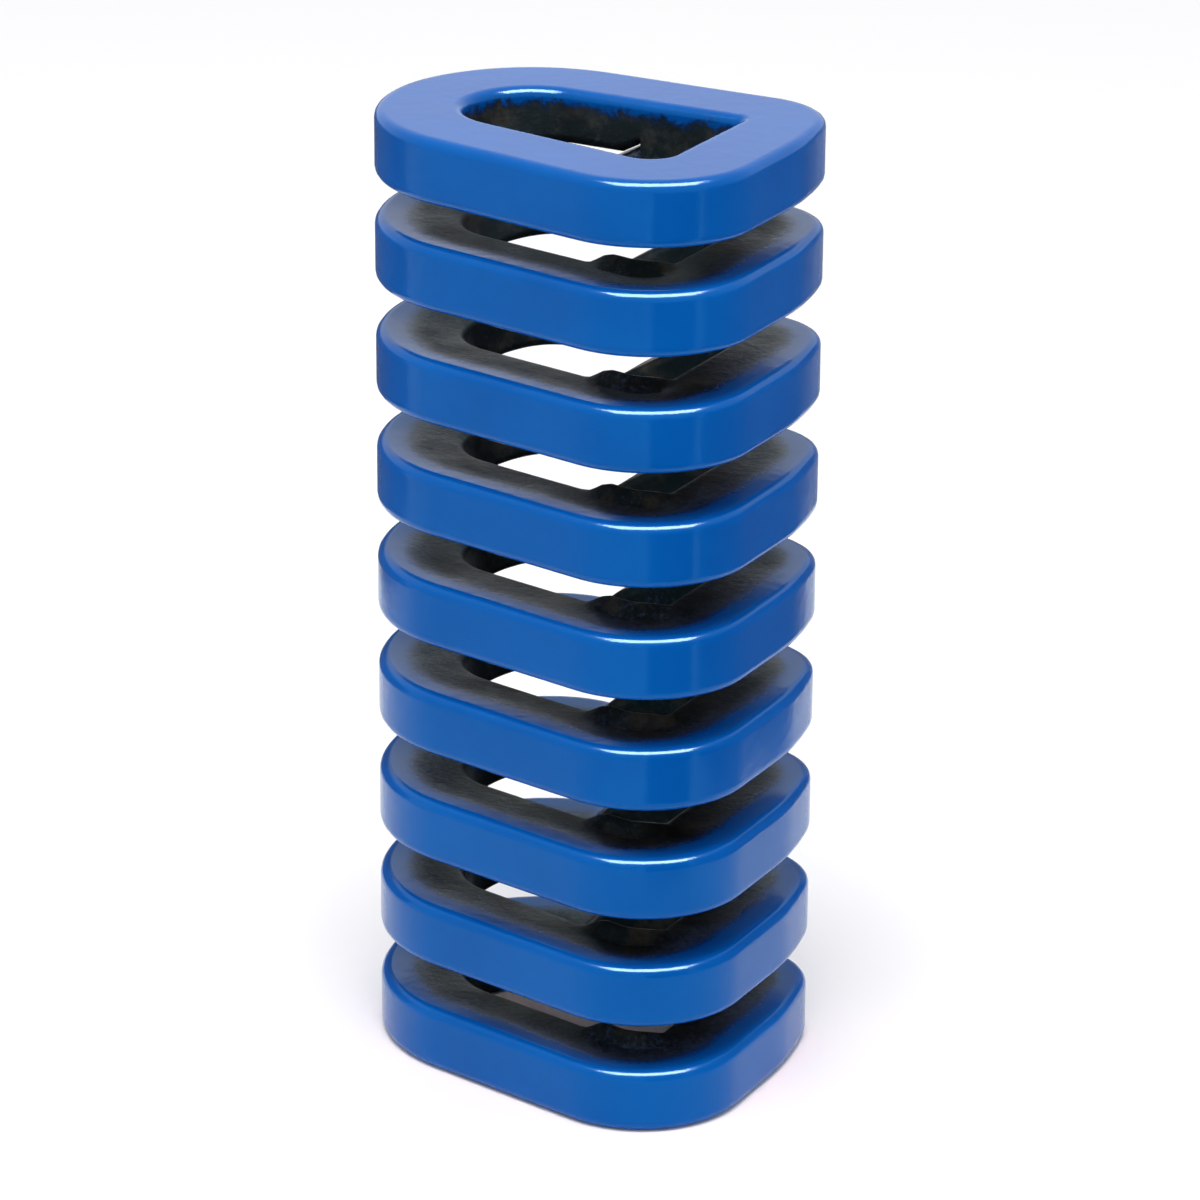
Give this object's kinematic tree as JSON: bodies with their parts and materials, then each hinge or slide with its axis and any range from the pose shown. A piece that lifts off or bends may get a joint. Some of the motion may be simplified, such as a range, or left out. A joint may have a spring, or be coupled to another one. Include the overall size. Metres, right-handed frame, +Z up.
{
  "type": "spring",
  "caption": "Die spring wound from flat rectangular wire into rounded D-shaped turns, ends closed and ground flat, blue enamel outside fading to bare dark steel on the inner faces",
  "frame": {"origin": "the middle of the footprint, on the flat ground face of the bottom end", "axes": "+Z up along the spring's length from the bottom end to the top end, X along the long straight back side of the turns, +Y to that straight back side, so -Y is the flared front side"},
  "size_m": [0.05, 0.0392, 0.1123],
  "materials": {
    "blue_enamel": "gloss"
  },
  "bodies": {
    "root": {"coil_spring": "blue_enamel"}
  },
  "joints": []
}
